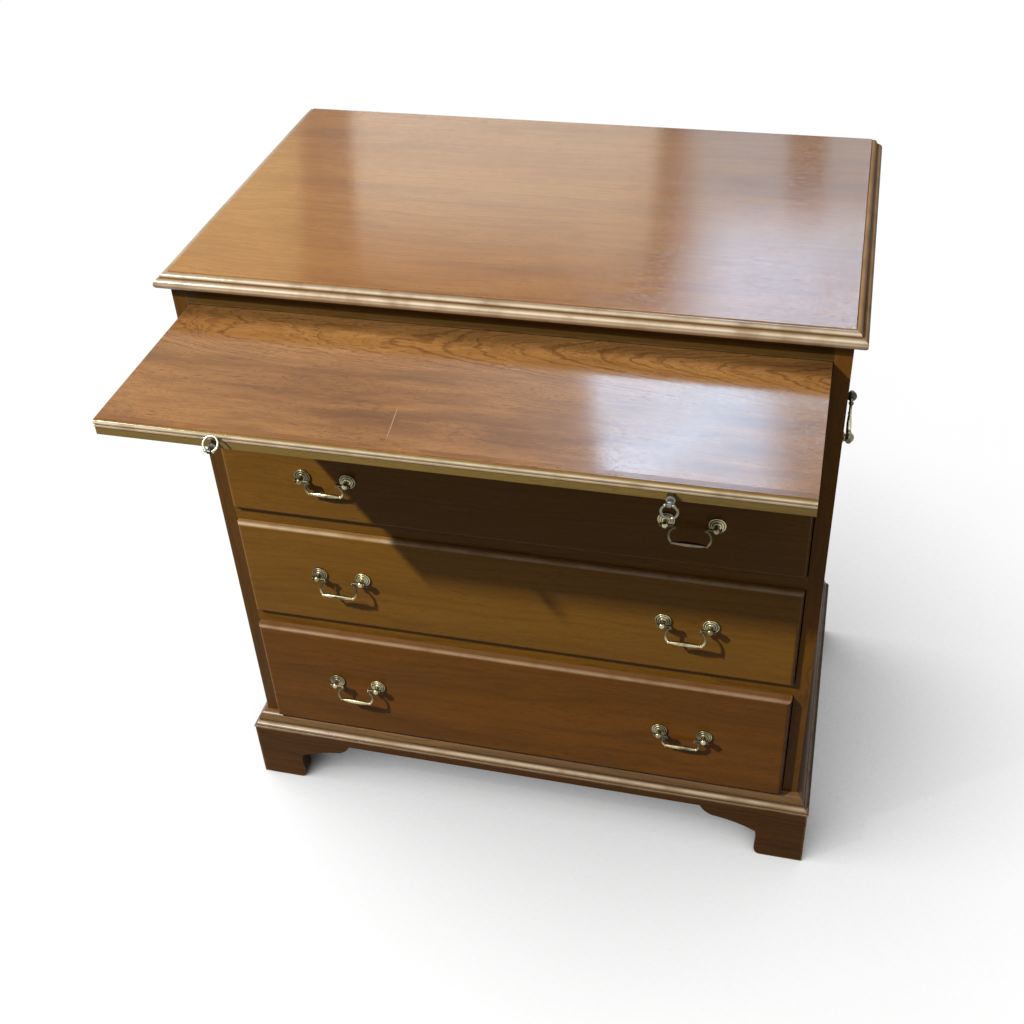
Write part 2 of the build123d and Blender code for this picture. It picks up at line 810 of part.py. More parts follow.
# Two rings: the left one turned up and leaning back on the slide's edge, the right one hanging
for hand, sign, turn in (("left", -1, 180 - ring_lean), ("right", 1, 0)):
    with BuildPart() as ring:
        place = (sign * ring_apart / 2, ring_pivot, stud_level)
        with Locations(Location(place, (turn, 0, 0))):
            add(pull_ring())
    ring.part.label = f"ring_{hand}"
    export_step(ring.part, f"parts/ring_{hand}.step")


def drawer_side(sign, face, bottom, top, back_low):
    """A drawer side with dovetails into the front and through the back, before its groove."""
    outer = inner_half - side_gap
    low_x = min(sign * outer, sign * (outer - lining_thick))
    shoulder = face + front_thick
    rear = face + front_proud + drawer_reach
    back_face = rear - lining_thick
    with BuildPart() as board:
        with BuildSketch(Plane.YZ.offset(low_x)):
            with Locations(((shoulder + back_face) / 2, (bottom + top) / 2)):
                Rectangle(back_face - shoulder, top - bottom)
            with Locations((back_face + lining_thick / 2, (bottom + back_low) / 2)):
                Rectangle(lining_thick, back_low - bottom)
            ends = ((shoulder, -tail_lap, bottom, top), (back_face, lining_thick, back_low, top))
            for root, reach, low, high in ends:
                count = max(2, round((high - low) / tail_pitch))
                pitch = (high - low) / count
                for step in range(count):
                    middle = low + pitch * (step + 1 / 2)
                    neck = tail_neck_share * pitch
                    end = tail_end_share * pitch
                    with BuildLine():
                        Polyline(
                            (root, middle - neck),
                            (root + reach, middle - end),
                            (root + reach, middle + end),
                            (root, middle + neck),
                            close=True,
                        )
                    make_face()
        extrude(amount=lining_thick)
    return board.part


# Four drawers
for number in (1, 2, 3, 4):
    height = drawer_heights[number - 1]
    low = run_level[number] + front_gap
    high = low + height
    face = front - front_proud - drawer_open[number - 1]
    shoulder = face + front_thick
    rear = face + front_proud + drawer_reach
    front_half = inner_half - side_gap
    lining_low = run_level[number] + run_gap
    lining_top = high - lining_drop
    panel_low = lining_low + panel_lift
    panel_top = panel_low + panel_thick
    panel_half = front_half - lining_thick + panel_groove
    pull_level = (low + high) / 2 + pull_rises[number - 1]
    blanks = [drawer_side(sign, face, lining_low, lining_top, panel_top) for sign in (-1, 1)]
    name = f"drawer_{number}"

    # Front, with a thumbnail moulding worked round its face
    with BuildPart() as drawer_front:
        with BuildSketch(Plane.XZ.offset(-shoulder)):
            with Locations((0, (low + high) / 2)):
                Rectangle(2 * front_half, height)
        extrude(amount=front_thick - thumb_depth)
        with BuildSketch(Plane.XZ.offset(-face - thumb_depth)):
            with Locations((0, (low + high) / 2)):
                Rectangle(2 * (front_half - thumb_quirk), height - 2 * thumb_quirk)
        extrude(amount=thumb_depth)
        rim = drawer_front.faces().sort_by(Axis.Y)[0].edges()
        fillet(rim, radius=thumb_depth - thumb_step)
        for blank in blanks:
            add(blank, mode=Mode.SUBTRACT)
        groove = slab(
            (-panel_half, panel_half), (shoulder - panel_groove, shoulder), (panel_low, panel_top)
        )
        add(groove, mode=Mode.SUBTRACT)
        with BuildSketch(Plane.XZ.offset(-shoulder)):
            for pull in (-1, 1):
                for post in (-1, 1):
                    post_x = pull * pull_apart / 2 + post * pull_bail["post_at"]
                    with Locations((post_x, pull_level)):
                        Circle(pull_post["shank_r"] + pivot_gap)
        extrude(amount=front_thick, mode=Mode.SUBTRACT)
    drawer_front.part.label = f"{name}_front"
    export_step(drawer_front.part, f"parts/{name}_front.step")

    # Sides, grooved for the bottom
    with BuildPart() as drawer_sides:
        for sign, blank in zip((-1, 1), blanks):
            add(blank)
            inner_face = front_half - lining_thick
            groove = slab(
                hand_span(sign, inner_face, inner_face + panel_groove),
                (face, rear),
                (panel_low, panel_top),
            )
            add(groove, mode=Mode.SUBTRACT)
    drawer_sides.part.label = f"{name}_sides"
    export_step(drawer_sides.part, f"parts/{name}_sides.step")

    # Back, over the bottom and between the tails of the sides
    with BuildPart() as drawer_back:
        back_span = (-front_half, front_half)
        add(slab(back_span, (rear - lining_thick, rear), (panel_top, lining_top)))
        for blank in blanks:
            add(blank, mode=Mode.SUBTRACT)
    drawer_back.part.label = f"{name}_back"
    export_step(drawer_back.part, f"parts/{name}_back.step")

    # Bottom, in the grooves of the front and the sides
    with BuildPart() as drawer_bottom:
        bottom_span = (-panel_half, panel_half)
        add(slab(bottom_span, (shoulder - panel_groove, rear), (panel_low, panel_top)))
    drawer_bottom.part.label = f"{name}_bottom"
    export_step(drawer_bottom.part, f"parts/{name}_bottom.step")

    # Two handles
    with BuildPart() as drawer_posts:
        for pull in (-1, 1):
            for post in (-1, 1):
                post_x = pull * pull_apart / 2 + post * pull_bail["post_at"]
                place = Plane(origin=(post_x, face, pull_level), x_dir=(1, 0, 0), z_dir=(0, -1, 0))
                add(turned_post(place, pull_post, front_thick))
    drawer_posts.part.label = f"{name}_posts"
    export_step(drawer_posts.part, f"parts/{name}_posts.step")

    for hand, sign, lean in zip(("left", "right"), (-1, 1), pull_leans[number - 1]):
        with BuildPart() as bail:
            eye_y = face - pull_post["eye_out"]
            place = (sign * pull_apart / 2, eye_y, pull_level)
            pivot = Plane(origin=place, x_dir=(1, 0, 0), z_dir=(0, -1, 0)).rotated((lean, 0, 0))
            add(swan_neck_bail(pivot, pull_post, pull_bail))
        bail.part.label = f"{name}_bail_{hand}"
        export_step(bail.part, f"parts/{name}_bail_{hand}.step")
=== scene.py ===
# %% [markdown]
# # A bachelor's chest with its brushing slide drawn out
#
# A small Georgian-style chest has four drawers, each deeper than the one above,
# and a thin board under its top that slides out for brushing clothes. The boards,
# mouldings and handles come in as a fixed frame. This lesson gives them their
# polish, wear and light, and adds the nuts that hold the drawer handles on.

from math import pi, radians

import bpy
from mathutils import Matrix, Vector


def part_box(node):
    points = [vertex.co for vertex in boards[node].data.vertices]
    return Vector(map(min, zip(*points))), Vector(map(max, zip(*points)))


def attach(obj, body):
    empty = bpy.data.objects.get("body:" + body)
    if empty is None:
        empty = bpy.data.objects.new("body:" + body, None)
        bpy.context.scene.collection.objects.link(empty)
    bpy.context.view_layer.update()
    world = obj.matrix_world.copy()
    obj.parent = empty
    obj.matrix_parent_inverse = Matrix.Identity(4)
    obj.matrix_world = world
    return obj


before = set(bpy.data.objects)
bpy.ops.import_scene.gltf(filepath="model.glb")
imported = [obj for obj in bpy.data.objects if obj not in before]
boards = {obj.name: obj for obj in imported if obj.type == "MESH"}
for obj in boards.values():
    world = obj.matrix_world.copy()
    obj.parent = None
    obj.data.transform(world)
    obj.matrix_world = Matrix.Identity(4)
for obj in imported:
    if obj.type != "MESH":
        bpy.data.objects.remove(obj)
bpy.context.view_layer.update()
drawers = (1, 2, 3, 4)

# %% [markdown]
# ## The camera
#
# The chest is seen from above, in front and a little to the right, as by someone
# standing close. The camera is aimed by three turns: round the chest, down towards it,
# and a slight roll of the hand. The shift moves the middle of the lens to the
# picture's own middle.

# %% Aim the camera
stand_at = (0.3397, -1.2552, 1.5095)
round_chest = radians(15.816)
look_down = radians(37.677)
hand_roll = radians(-3.302)
film_width = 36
focal_share = 1.29545
shift_share = (-0.00334, -0.0357)

lens = bpy.data.cameras.new("Camera")
lens.sensor_fit = "HORIZONTAL"
lens.sensor_width = film_width
lens.lens = focal_share * film_width
lens.shift_x, lens.shift_y = shift_share
lens.clip_start = 0.05
camera = bpy.data.objects.new("Camera", lens)
bpy.context.collection.objects.link(camera)
turn = Matrix.Rotation(round_chest, 4, "Z") @ Matrix.Rotation(pi / 2 - look_down, 4, "X")
camera.matrix_world = Matrix.Translation(stand_at) @ turn @ Matrix.Rotation(hand_roll, 4, "Z")
bpy.context.scene.camera = camera
print("lens", round(lens.lens, 2), "mm")

# %% [markdown]
# ## Small helpers for shader nodes
#
# A material is a graph of nodes. These helpers keep each recipe below to a few lines:
# one adds a node, one feeds a socket with a number or another node's output, and the
# rest wrap the arithmetic and mixing nodes that every recipe needs.

# %% Node helpers
def add_node(tree, kind, **values):
    """Adds a node: names in capitals fill its sockets, the others are its own settings."""
    made = tree.nodes.new("ShaderNode" + kind)
    for name, value in values.items():
        if not name[0].isupper():
            setattr(made, name, value)
    for name, value in values.items():
        if name[0].isupper():
            feed(tree, made.inputs[name.replace("_", " ")], value)
    return made


def feed(tree, socket, value):
    """Links an output to a socket, or writes a plain value into it."""
    if isinstance(value, bpy.types.NodeSocket):
        tree.links.new(value, socket)
    else:
        socket.default_value = value


def node_of(tree, kind, values, **settings):
    """Adds a node and fills its sockets in their order."""
    made = add_node(tree, kind, **settings)
    for socket, value in zip(made.inputs, values):
        feed(tree, socket, value)
    return made


# %% Arithmetic and mixing helpers
def sums(tree, operation, *values):
    """One Math node."""
    return node_of(tree, "Math", values, operation=operation).outputs["Value"]


def vector_sums(tree, operation, *values):
    """One Vector Math node whose answer is a vector."""
    return node_of(tree, "VectorMath", values, operation=operation).outputs["Vector"]


def measure(tree, operation, *values):
    """One Vector Math node whose answer is a number, such as a length."""
    return node_of(tree, "VectorMath", values, operation=operation).outputs["Value"]


def axis_of(tree, vector, axis):
    """One coordinate of a vector."""
    return add_node(tree, "SeparateXYZ", Vector=vector).outputs[axis]


def mix_colours(tree, share, first, second):
    """One Mix node for colours, whose own sockets come after those for numbers."""
    made = add_node(tree, "Mix", data_type="RGBA")
    feed(tree, made.inputs["Factor"], share)
    feed(tree, made.inputs[6], first)
    feed(tree, made.inputs[7], second)
    return made.outputs[2]


# %% Ramp and noise helpers
def ramp(tree, value, low, high, to_low=0.0, to_high=1.0):
    """Stretches the span from low to high over a new span, and holds it at both ends."""
    made = add_node(tree, "MapRange", interpolation_type="SMOOTHSTEP")
    for name, number in zip(
        ("Value", "From Min", "From Max", "To Min", "To Max"),
        (value, low, high, to_low, to_high),
    ):
        feed(tree, made.inputs[name], number)
    return made.outputs["Result"]


def noise(tree, vector, stretch, detail=2.0, roughness=0.5, gives="Fac"):
    """Noise whose cells are stretched by a different amount along each axis."""
    place = vector_sums(tree, "MULTIPLY", vector, stretch)
    made = add_node(tree, "TexNoise", Vector=place, Scale=1.0, Detail=detail, Roughness=roughness)
    return made.outputs[gives]


def sway(tree, vector, stretch, swing, detail=2.0, roughness=0.5):
    """An offset that wanders either side of zero, as far along each axis as its swing."""
    drift = noise(tree, vector, stretch, detail, roughness, gives="Color")
    drift = vector_sums(tree, "SUBTRACT", drift, (0.5, 0.5, 0.5))
    return vector_sums(tree, "MULTIPLY", drift, swing)


# %% Group and material helpers
def new_group(name, wants, gives):
    """An empty shader group with named inputs and outputs."""
    group = bpy.data.node_groups.new(name, "ShaderNodeTree")
    for label, kind, value in wants:
        socket = group.interface.new_socket(label, in_out="INPUT", socket_type="NodeSocket" + kind)
        if value is not None:
            socket.default_value = value
    for label, kind in gives:
        group.interface.new_socket(label, in_out="OUTPUT", socket_type="NodeSocket" + kind)
    entry = group.nodes.new("NodeGroupInput")
    exit_node = group.nodes.new("NodeGroupOutput")
    return group, entry.outputs, exit_node.inputs


def use_group(tree, group, **values):
    """Places a group in a tree and fills its sockets."""
    made = tree.nodes.new("ShaderNodeGroup")
    made.node_tree = group
    for name, value in values.items():
        feed(tree, made.inputs[name.replace("_", " ")], value)
    return made.outputs


def new_material(name):
    """A material with a plain Principled shader, its tree and its Object coordinates."""
    material = bpy.data.materials.new(name)
    material.use_nodes = True
    tree = material.node_tree
    shader = tree.nodes["Principled BSDF"]
    place = add_node(tree, "TexCoord").outputs["Object"]
    return material, tree, shader, place


# %% [markdown]
# ## Polished mahogany
#
# A board shows the tree it was cut from: long streaks along the grain, dark growth
# rings that draw pointed arches where the cut runs flat through them, and short open
# pores. One group makes all three from a point in the board's own space, where X runs
# along the grain. Rings are circles round X, and a slight tilt of that axis against
# the board is what turns them into arches. Real rings are uneven, so their darkness
# is noise read along the radius, not a wave.

# %% Wood grain group
grain, given, out = new_group(
    "Wood grain",
    [
        ("Vector", "Vector", None),
        ("Dark", "Color", (0.1, 0.04, 0.015, 1)),
        ("Middle", "Color", (0.25, 0.1, 0.04, 1)),
        ("Light", "Color", (0.4, 0.18, 0.07, 1)),
        ("Ring Scale", "Float", 240.0),
        ("Rings", "Float", 0.4),
        ("Streaks", "Float", 0.6),
        ("Pores", "Float", 0.4),
    ],
    [("Color", "Color"), ("Height", "Float"), ("Sheen", "Float")],
)
wander = sway(grain, given["Vector"], (2.2, 6, 6), (0, 0.045, 0.045))
ripple = sway(grain, given["Vector"], (16, 45, 45), (0, 0.009, 0.009), 3, 0.6)
bent = vector_sums(grain, "ADD", given["Vector"], vector_sums(grain, "ADD", wander, ripple))
print("wood grain group takes", [socket.name for socket in given if socket.name])

# %% Growth rings
across = vector_sums(grain, "MULTIPLY", bent, (0, 1, 1))
radius = measure(grain, "LENGTH", across)
rings = add_node(
    grain, "TexNoise", noise_dimensions="1D", Scale=1.0, Detail=2.5, Roughness=0.6,
    W=sums(grain, "MULTIPLY", radius, given["Ring Scale"]),
)
late_wood = ramp(grain, rings.outputs["Fac"], 0.46, 0.70)
print("growth rings read", rings.noise_dimensions, "noise")

# %% Streaks, from the broadest to the finest, and pores
broad = noise(grain, given["Vector"], (0.9, 13, 13), 3)
smoke = noise(grain, given["Vector"], (3.2, 17, 17), 4, 0.6)
patch = noise(grain, bent, (8, 36, 36), 4, 0.65)
streak = noise(grain, bent, (3.5, 95, 95), 4, 0.6)
fine = noise(grain, bent, (11, 420, 420), 3, 0.6)
fibre = noise(grain, bent, (22, 1100, 1100), 2)
dash = ramp(grain, noise(grain, bent, (46, 800, 800), 1), 0.60, 0.70)
pore = ramp(grain, noise(grain, bent, (95, 1900, 1900), 1), 0.58, 0.68)
open_pores = sums(grain, "MULTIPLY", given["Pores"], ramp(grain, patch, 0.38, 0.60, 0.25, 1.0))

tone = sums(grain, "MULTIPLY", streak, 0.26)
for layer, share in ((broad, 0.32), (patch, 0.30), (fine, 0.12)):
    tone = sums(grain, "MULTIPLY_ADD", layer, share, tone)
tone = ramp(grain, tone, 0.42, 0.58)
tone = sums(grain, "MULTIPLY_ADD", sums(grain, "SUBTRACT", tone, 0.5), given["Streaks"], 0.5)

# %% Colour of the wood
colour = mix_colours(grain, tone, given["Middle"], given["Light"])
for darkness in (
    sums(grain, "MULTIPLY", ramp(grain, smoke, 0.46, 0.72, 0.0, 0.42), given["Streaks"]),
    sums(grain, "MULTIPLY", late_wood, given["Rings"]),
    ramp(grain, fibre, 0.35, 0.65, 0.0, 0.10),
    sums(grain, "MULTIPLY", dash, open_pores),
    sums(grain, "MULTIPLY", pore, open_pores),
):
    colour = mix_colours(grain, darkness, colour, given["Dark"])
feed(grain, out["Color"], colour)
feed(grain, out["Height"], sums(grain, "SUBTRACT", fibre, pore))
feed(grain, out["Sheen"], tone)
print("wood grain group:", len(grain.nodes), "nodes")

# %% [markdown]
# ## Wear along the edges
#
# Hands and dusters rub a board's edges until the polish there is thin and pale. A
# board is a box, so a point is near an edge where it is near two of the box's faces
# at once. The group measures that from the board's own corners, and noise breaks it up.

# %% Edge wear group
wear, given, out = new_group(
    "Edge wear",
    [
        ("Vector", "Vector", None),
        ("Low Corner", "Vector", None),
        ("High Corner", "Vector", None),
        ("Width", "Float", 0.002),
    ],
    [("Wear", "Float")],
)
from_low = vector_sums(wear, "SUBTRACT", given["Vector"], given["Low Corner"])
from_high = vector_sums(wear, "SUBTRACT", given["High Corner"], given["Vector"])
reach = add_node(wear, "SeparateXYZ", Vector=vector_sums(wear, "MINIMUM", from_low, from_high))
near = [ramp(wear, reach.outputs[axis], 0.0, given["Width"], 1.0, 0.0) for axis in range(3)]
pairs = [sums(wear, "MULTIPLY", near[axis], near[axis - 1]) for axis in range(3)]
edge = sums(wear, "ADD", sums(wear, "ADD", pairs[0], pairs[1]), pairs[2])
patchy = ramp(wear, noise(wear, given["Vector"], (38, 38, 38), 3), 0.35, 0.62)
feed(wear, out["Wear"], sums(wear, "MULTIPLY", edge, patchy))
print("edge wear group:", len(wear.nodes), "nodes")

# %% [markdown]
# ## Wax and painted shade in the grooves, wear and painted highlight on the crests
#
# A moulding runs level round the chest, so its grooves and crests each lie at one
# height. Old wax and painted shade darken the grooves, and wear and painted highlights
# pale the crests. The group turns a height into a soft line, broken up along its length.

# %% Moulding line group
level_line, given, out = new_group(
    "Moulding line",
    [("Vector", "Vector", None), ("Level", "Float", 0.0), ("Half Width", "Float", 0.001)],
    [("Line", "Float")],
)
height = axis_of(level_line, given["Vector"], "Z")
off = sums(level_line, "ABSOLUTE", sums(level_line, "SUBTRACT", height, given["Level"]))
line = ramp(level_line, off, 0.0, given["Half Width"], 1.0, 0.0)
broken = noise(level_line, given["Vector"], (30, 30, 30), 3)
broken = ramp(level_line, broken, 0.25, 0.6, 0.45, 1.0)
feed(level_line, out["Line"], sums(level_line, "MULTIPLY", line, broken))
print("moulding line group:", len(level_line.nodes), "nodes")

# %% [markdown]
# ## One recipe for every polished board
#
# Each board gets its own material, so that no two show the same piece of the tree.
# The grain axis is chosen per board: along the front for drawers and rails, upright
# on the sides, from front to back on the side mouldings. A tint is three colours of
# the wood, dark, middle and light. The moulding on the right lies in shade and is
# given a lighter, warmer tint and brighter crest lines, as painted light.

# %% Tints
grain_turns = {
    "X": (0, 0, 0),
    "Y": (0, 0, pi / 2),
    "Z": (0, pi / 2, 0),
}
tints = {
    "top": ((0.15, 0.045, 0.010, 1), (0.330, 0.130, 0.026, 1), (0.44, 0.190, 0.040, 1)),
    "slide": ((0.085, 0.026, 0.008, 1), (0.250, 0.105, 0.030, 1), (0.41, 0.190, 0.054, 1)),
    "slide edge": ((0.10, 0.058, 0.010, 1), (0.21, 0.130, 0.020, 1), (0.26, 0.165, 0.028, 1)),
    "drawer": ((0.085, 0.032, 0.005, 1), (0.205, 0.090, 0.010, 1), (0.255, 0.118, 0.015, 1)),
    "low drawer": ((0.055, 0.020, 0.003, 1), (0.150, 0.056, 0.006, 1), (0.24, 0.085, 0.009, 1)),
    "rail": ((0.085, 0.035, 0.004, 1), (0.190, 0.086, 0.009, 1), (0.245, 0.112, 0.013, 1)),
    "case": ((0.055, 0.020, 0.003, 1), (0.150, 0.060, 0.007, 1), (0.20, 0.084, 0.011, 1)),
    "left side": ((0.038, 0.015, 0.003, 1), (0.104, 0.043, 0.007, 1), (0.14, 0.060, 0.010, 1)),
    # The top rail's dark tint is painted shade, standing in for the shade under the top moulding.
    "top rail": ((0.045, 0.022, 0.005, 1), (0.084, 0.045, 0.011, 1), (0.11, 0.060, 0.015, 1)),
    "plinth": ((0.030, 0.011, 0.003, 1), (0.088, 0.034, 0.007, 1), (0.13, 0.054, 0.013, 1)),
    "moulding": ((0.065, 0.027, 0.006, 1), (0.17, 0.080, 0.018, 1), (0.23, 0.118, 0.032, 1)),
    "painted light moulding": ((0.12, 0.050, 0.010, 1), (0.34, 0.150, 0.034, 1), (0.44, 0.205, 0.055, 1)),
}
flame_middle, flame_light = (0.38, 0.175, 0.052, 1), (0.52, 0.26, 0.080, 1)
rubbed = (0.56, 0.36, 0.17, 1)
pale_wear_and_highlight = (0.80, 0.68, 0.50, 1)
painted_light_crest = (0.90, 0.61, 0.34, 1)
wax_and_shade = (0.020, 0.010, 0.004, 1)
print(len(tints), "tints of polished wood")

# %% Lines, scratches and rubbed edges
scratch_half, scratch_blur = 0.0001, 0.0006
scratch_start, scratch_strength = 0.022, 0.42


def lined(tree, place, colour, lines, tint):
    """Level lines along a moulding, each with its height, half width and strength."""
    for level, half_width, strength in lines:
        line = use_group(tree, level_line, Vector=place, Level=level, Half_Width=half_width)
        share = sums(tree, "MULTIPLY", line["Line"], strength)
        colour = mix_colours(tree, share, colour, tint)
    return colour


def scratched(tree, place, colour, first, last):
    """A fine pale scratch from first to last, which fades in and out along its run."""
    run = Vector(last) - Vector(first)
    heading = run.normalized()
    aside = Vector((-heading.y, heading.x, 0))
    offset = vector_sums(tree, "SUBTRACT", place, first)
    reached = measure(tree, "DOT_PRODUCT", offset, heading)
    strayed = sums(tree, "ABSOLUTE", measure(tree, "DOT_PRODUCT", offset, aside))
    mark = ramp(tree, strayed, scratch_half, scratch_blur, 1.0, 0.0)
    fade_in = ramp(tree, reached, 0.0, scratch_start)
    fade_out = ramp(tree, reached, run.length * 0.6, run.length, 1.0, 0.0)
    mark = sums(tree, "MULTIPLY", sums(tree, "MULTIPLY", mark, fade_in), fade_out)
    return mix_colours(tree, sums(tree, "MULTIPLY", mark, scratch_strength), colour, pale_wear_and_highlight)


def edge_worn(tree, place, colour, node, width, strength):
    """Pale rub along the edges of the node's own box."""
    low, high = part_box(node)
    worn = use_group(tree, wear, Vector=place, Low_Corner=low, High_Corner=high, Width=width)
    share = sums(tree, "MULTIPLY", worn["Wear"], strength)
    return mix_colours(tree, share, colour, rubbed)


# %% Polished wood recipe
overhang_shade_strength, dry_roughness, pore_depth = 0.58, 0.85, 0.0004
flat_figure = {"Ring_Scale": 420.0, "Rings": 0.1, "Streaks": 0.95, "Pores": 0.6}


def polished(
    name, node, tint, along="X", start=(0, 0, 0), tilt=0.0,
    ring_scale=240.0, rings=0.35, streaks=0.7, pores=0.45,
    gloss=0.30, shine=0.5, edge=0.003, rub=0.45,
    grooves=(), crests=(), crest_tint=pale_wear_and_highlight,
    flame=None, scratch=None, overhang_shade=None, flat_tint=None,
):
    """Polished wood for one board, cut from its own place in the tree."""
    material, tree, shader, place = new_material(name)
    turn = Vector(grain_turns[along]) + Vector((0, tilt, 0))
    cut = add_node(tree, "Mapping", Vector=place, Location=start, Rotation=turn).outputs["Vector"]
    dark, middle, light = tints[tint]
    if flame is not None:
        flame_from, flame_to, strongest = flame
        inside = ramp(tree, axis_of(tree, place, "Y"), flame_from, flame_to)
        rings = ramp(tree, inside, 0.0, 1.0, rings, strongest)
        middle = mix_colours(tree, inside, middle, flame_middle)
        light = mix_colours(tree, inside, light, flame_light)
    wood = use_group(
        tree, grain, Vector=cut, Dark=dark, Middle=middle, Light=light,
        Ring_Scale=ring_scale, Rings=rings, Streaks=streaks, Pores=pores,
    )
    colour = wood["Color"]
    if scratch is not None:
        colour = scratched(tree, place, colour, *scratch)
    # Painted shade: the board darkens towards the back, where it lies under the top's overhang.
    if overhang_shade is not None:
        painted_overhang_shade = ramp(tree, axis_of(tree, place, "Y"), *overhang_shade, 0.0, overhang_shade_strength)
        colour = mix_colours(tree, painted_overhang_shade, colour, wax_and_shade)
    upward = axis_of(tree, add_node(tree, "NewGeometry").outputs["Normal"], "Z")
    if flat_tint is not None:
        dark, middle, light = tints[flat_tint]
        flat = use_group(
            tree, grain, Vector=cut, Dark=dark, Middle=middle, Light=light, **flat_figure
        )
        colour = mix_colours(tree, ramp(tree, upward, 0.90, 0.99), colour, flat["Color"])
    # Crest lines are pale wear and painted highlight; groove lines are old wax and painted shade.
    colour = lined(tree, place, colour, crests, crest_tint)
    colour = lined(tree, place, colour, grooves, wax_and_shade)
    colour = edge_worn(tree, place, colour, node, edge, rub)
    feed(tree, shader.inputs["Base Color"], colour)
    smudge = noise(tree, place, (9, 9, 9), 4, 0.65)
    rough = ramp(tree, smudge, 0.3, 0.7, gloss * 0.85, gloss * 1.25)
    # The underside of a board is planed and left dry, so it mirrors nothing.
    dry = ramp(tree, upward, -0.98, -0.85, dry_roughness, 0.0)
    feed(tree, shader.inputs["Roughness"], sums(tree, "MAXIMUM", rough, dry))
    shader.inputs["Specular IOR Level"].default_value = shine
    bump = add_node(tree, "Bump", Strength=0.06, Distance=pore_depth, Height=wood["Height"])
    feed(tree, shader.inputs["Normal"], bump.outputs["Normal"])
    boards[node].material_slots[0].material = material


# %% The top and its mouldings
unworn = 0.0001
round_the_case = (("front", "X"), ("left", "Y"), ("right", "Y"))
case_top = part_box("top_moulding_front")[0].z
polished(
    "Top board", "top_panel", "top", start=(0.1, -0.03, -0.765), tilt=0.040,
    ring_scale=300.0, rings=0.20, streaks=0.75, pores=0.35,
    gloss=0.065, shine=0.14, edge=unworn,
)
lit = {"tint": "moulding", "gloss": 0.16, "shine": 0.30, "crest_tint": pale_wear_and_highlight}
# Painted light: the right moulding lies in shade, so its tint and crest lines are made lighter.
lifted_by_painted_light = {"tint": "painted light moulding", "gloss": 0.34, "shine": 0.02, "crest_tint": painted_light_crest}
for hand, axis in round_the_case:
    look, hollow, cove = (lifted_by_painted_light, 1.00, 0.85) if hand == "right" else (lit, 0.55, 0.38)
    polished(
        "Top moulding " + hand, "top_moulding_" + hand, along=axis,
        start=(0.3, 0.05, 0.2), edge=unworn, grooves=[(case_top + 0.0008, 0.0035, 0.12)],
        crests=[
            (case_top + 0.0194, 0.0026, 0.80), (case_top + 0.0146, 0.0022, 0.90),
            (case_top + 0.0115, 0.0025, hollow), (case_top + 0.0078, 0.0034, cove),
        ],
        **look,
    )
print("top moulding starts at height", round(case_top, 4))

# %% The case
for hand, tint, shift in (("left", "left side", 0.31), ("right", "case", 0.87)):
    polished(
        "Side " + hand, "side_" + hand, tint, along="Z", start=(shift, shift, 0.1),
        gloss=0.38, shine=0.08, rub=0.03,
    )
rails = (("top_rail", "top rail", 0.2), ("slide_rail", "rail", 0.5), ("drawer_rails", "rail", 0.8))
for name, tint, shift in rails:
    polished(
        name.replace("_", " ").capitalize(), name, tint, start=(shift, shift, 0),
        gloss=0.28, shine=0.06, rub=0.10,
    )
print("two sides and", len(rails), "materials for the rails")

# %% The base moulding and the plinth
plinth_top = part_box("base_moulding_front")[0].z
for hand, axis in round_the_case:
    polished(
        "Base moulding " + hand, "base_moulding_" + hand, "moulding", along=axis,
        start=(0.7, 0.15, 0.4), gloss=0.27, shine=0.12 if hand == "right" else 0.30,
        edge=unworn,
        grooves=[(plinth_top + 0.0041, 0.0010, 0.8), (plinth_top + 0.0113, 0.0010, 0.8)],
        crests=[(plinth_top + 0.0020, 0.0013, 0.35), (plinth_top + 0.0068, 0.0030, 0.60)],
    )
    polished(
        "Plinth " + hand, "plinth_" + hand, "plinth", along=axis, start=(0.4, 0.35, 0.1),
        gloss=0.30, shine=0.04,
    )
print("plinth ends at height", round(plinth_top, 4))

# %% [markdown]
# ## The brushing slide
#
# The back of the slide lies close under the top's overhang. The figure of the wood is
# strong and pale there, and painted shade from the overhang darkens the board behind it.
# A fine scratch crosses the board near its middle. The moulded edge in front has its
# own olive tint, but its flat top continues the board.

# %% The slide and its edge
slide_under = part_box("slide_edge")[0].z
polished(
    "Slide board", "slide_board", "slide", start=(0.12, 0.135, -0.70), tilt=0.10,
    ring_scale=620.0, rings=0.12, streaks=0.95, pores=0.60,
    gloss=0.065, shine=0.25, edge=unworn,
    flame=(-0.225, -0.170, 0.52), overhang_shade=(-0.142, -0.118),
    scratch=((-0.0585, -0.2519, 0.777), (-0.0512, -0.3207, 0.777)),
)
polished(
    "Slide edge", "slide_edge", "slide edge", start=(0.5, 0.4, 0), gloss=0.16,
    shine=0.20, edge=unworn, flat_tint="slide",
    crests=[
        (slide_under + 0.0152, 0.0021, 1.00), (slide_under + 0.0122, 0.0026, 1.00),
        (slide_under + 0.0096, 0.0014, 0.65),
    ],
)
print("slide edge starts at height", round(slide_under, 4))

# %% The drawer fronts
for number in drawers:
    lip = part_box(f"drawer_{number}_front")[1].z
    tint, lip_wear_and_highlight = ("low drawer", 0.26) if number == drawers[-1] else ("drawer", 0.44)
    polished(
        f"Drawer {number} front", f"drawer_{number}_front", tint,
        start=(0.37 * number, 0.21 * number, 0.05), tilt=0.02, rings=0.18, streaks=0.6,
        gloss=0.26, shine=0.06, edge=0.0045, rub=0.18,
        # The pale line along the upper lip is wear and painted highlight.
        crests=[(lip - 0.0020, 0.0028, lip_wear_and_highlight)],
    )
    print("drawer", number, "has its upper lip at height", round(lip, 4))

